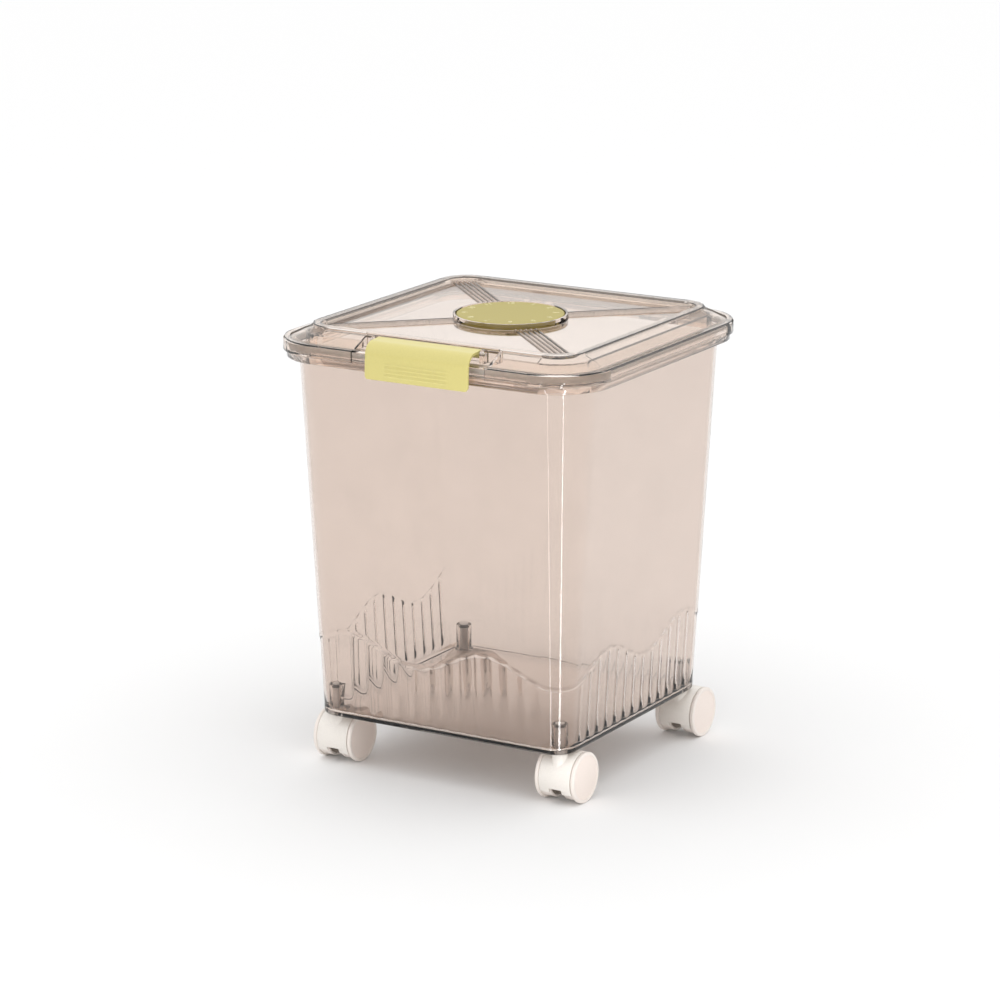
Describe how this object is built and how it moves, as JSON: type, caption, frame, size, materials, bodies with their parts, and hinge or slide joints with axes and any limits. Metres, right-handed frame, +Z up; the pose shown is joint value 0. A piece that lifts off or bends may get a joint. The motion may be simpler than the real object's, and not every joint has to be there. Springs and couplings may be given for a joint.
{
  "type": "wheeled pet food bin",
  "caption": "Clear lidded food bin with a rear-hinged lid, front latch, date dial, moulded flutes and swivelling twin-wheel casters.",
  "frame": {"origin": "centre of the bounding box on the floor, under the wheels", "axes": "+Z up; -Y points to the front, where the latch is; +X points to the right of a person who stands in front of the bin and faces it"},
  "size_m": [0.318, 0.3238, 0.3995],
  "materials": {
    "clear_tub": "clear tinted polystyrene, polished",
    "clear_lid": "clear tinted polystyrene, polished",
    "silicone": "translucent silicone",
    "steel": "brushed steel pin",
    "lime_plastic": "satin yellow-green",
    "white_plastic": "satin white",
    "black_plastic": "dark ring",
    "caster_plastic": "satin warm white",
    "wheel_plastic": "satin warm white",
    "cap_plastic": "satin pale pink-white"
  },
  "bodies": {
    "bin": {"bin_body": "clear_tub", "hinge_pin_left": "steel", "hinge_pin_right": "steel", "front_left_stem": "steel", "front_left_grip_ring": "black_plastic", "front_right_stem": "steel", "front_right_grip_ring": "black_plastic", "back_left_stem": "steel", "back_left_grip_ring": "black_plastic", "back_right_stem": "steel", "back_right_grip_ring": "black_plastic"},
    "lid": {"lid": "clear_lid", "lid_seal": "silicone", "latch_pin": "steel", "dial_pivot": "white_plastic"},
    "latch": {"latch": "lime_plastic"},
    "dial": {"date_dial": "lime_plastic"},
    "front_left_caster": {"front_left_housing": "caster_plastic", "front_left_axle": "steel"},
    "front_left_wheels_a": {"front_left_wheel_a": "wheel_plastic", "front_left_cap_a": "cap_plastic"},
    "front_left_wheels_b": {"front_left_wheel_b": "wheel_plastic", "front_left_cap_b": "cap_plastic"},
    "front_right_caster": {"front_right_housing": "caster_plastic", "front_right_axle": "steel"},
    "front_right_wheels_a": {"front_right_wheel_a": "wheel_plastic", "front_right_cap_a": "cap_plastic"},
    "front_right_wheels_b": {"front_right_wheel_b": "wheel_plastic", "front_right_cap_b": "cap_plastic"},
    "back_left_caster": {"back_left_housing": "caster_plastic", "back_left_axle": "steel"},
    "back_left_wheels_a": {"back_left_wheel_a": "wheel_plastic", "back_left_cap_a": "cap_plastic"},
    "back_left_wheels_b": {"back_left_wheel_b": "wheel_plastic", "back_left_cap_b": "cap_plastic"},
    "back_right_caster": {"back_right_housing": "caster_plastic", "back_right_axle": "steel"},
    "back_right_wheels_a": {"back_right_wheel_a": "wheel_plastic", "back_right_cap_a": "cap_plastic"},
    "back_right_wheels_b": {"back_right_wheel_b": "wheel_plastic", "back_right_cap_b": "cap_plastic"}
  },
  "joints": [
    {"name": "lid_hinge", "type": "hinge", "parent": "bin", "child": "lid", "pos_m": [0, 0.1574, 0.374], "axis": [-1, 0, 0], "range_deg": [0, 110]},
    {"name": "latch_hinge", "type": "hinge", "parent": "lid", "child": "latch", "pos_m": [0, -0.1391, 0.394], "axis": [-1, 0, 0], "range_deg": [0, 90]},
    {"name": "dial_spin", "type": "hinge", "parent": "lid", "child": "dial", "pos_m": [0, -0.0031, 0.4], "axis": [0, 0, 1], "continuous": true},
    {"name": "front_left_swivel", "type": "hinge", "parent": "bin", "child": "front_left_caster", "pos_m": [-0.1135, -0.1121, 0.045], "axis": [0, 0, 1], "continuous": true},
    {"name": "front_left_roll_a", "type": "hinge", "parent": "front_left_caster", "child": "front_left_wheels_a", "pos_m": [-0.1135, -0.1001, 0.0225], "axis": [1, 0, 0], "continuous": true},
    {"name": "front_left_roll_b", "type": "hinge", "parent": "front_left_caster", "child": "front_left_wheels_b", "pos_m": [-0.1135, -0.1001, 0.0225], "axis": [1, 0, 0], "continuous": true},
    {"name": "front_right_swivel", "type": "hinge", "parent": "bin", "child": "front_right_caster", "pos_m": [0.1135, -0.1121, 0.045], "axis": [0, 0, 1], "continuous": true},
    {"name": "front_right_roll_a", "type": "hinge", "parent": "front_right_caster", "child": "front_right_wheels_a", "pos_m": [0.1135, -0.1001, 0.0225], "axis": [1, 0, 0], "continuous": true},
    {"name": "front_right_roll_b", "type": "hinge", "parent": "front_right_caster", "child": "front_right_wheels_b", "pos_m": [0.1135, -0.1001, 0.0225], "axis": [1, 0, 0], "continuous": true},
    {"name": "back_left_swivel", "type": "hinge", "parent": "bin", "child": "back_left_caster", "pos_m": [-0.1135, 0.1059, 0.045], "axis": [0, 0, 1], "continuous": true},
    {"name": "back_left_roll_a", "type": "hinge", "parent": "back_left_caster", "child": "back_left_wheels_a", "pos_m": [-0.1135, 0.1179, 0.0225], "axis": [1, 0, 0], "continuous": true},
    {"name": "back_left_roll_b", "type": "hinge", "parent": "back_left_caster", "child": "back_left_wheels_b", "pos_m": [-0.1135, 0.1179, 0.0225], "axis": [1, 0, 0], "continuous": true},
    {"name": "back_right_swivel", "type": "hinge", "parent": "bin", "child": "back_right_caster", "pos_m": [0.1135, 0.1059, 0.045], "axis": [0, 0, 1], "continuous": true},
    {"name": "back_right_roll_a", "type": "hinge", "parent": "back_right_caster", "child": "back_right_wheels_a", "pos_m": [0.1135, 0.1179, 0.0225], "axis": [1, 0, 0], "continuous": true},
    {"name": "back_right_roll_b", "type": "hinge", "parent": "back_right_caster", "child": "back_right_wheels_b", "pos_m": [0.1135, 0.1179, 0.0225], "axis": [1, 0, 0], "continuous": true}
  ]
}
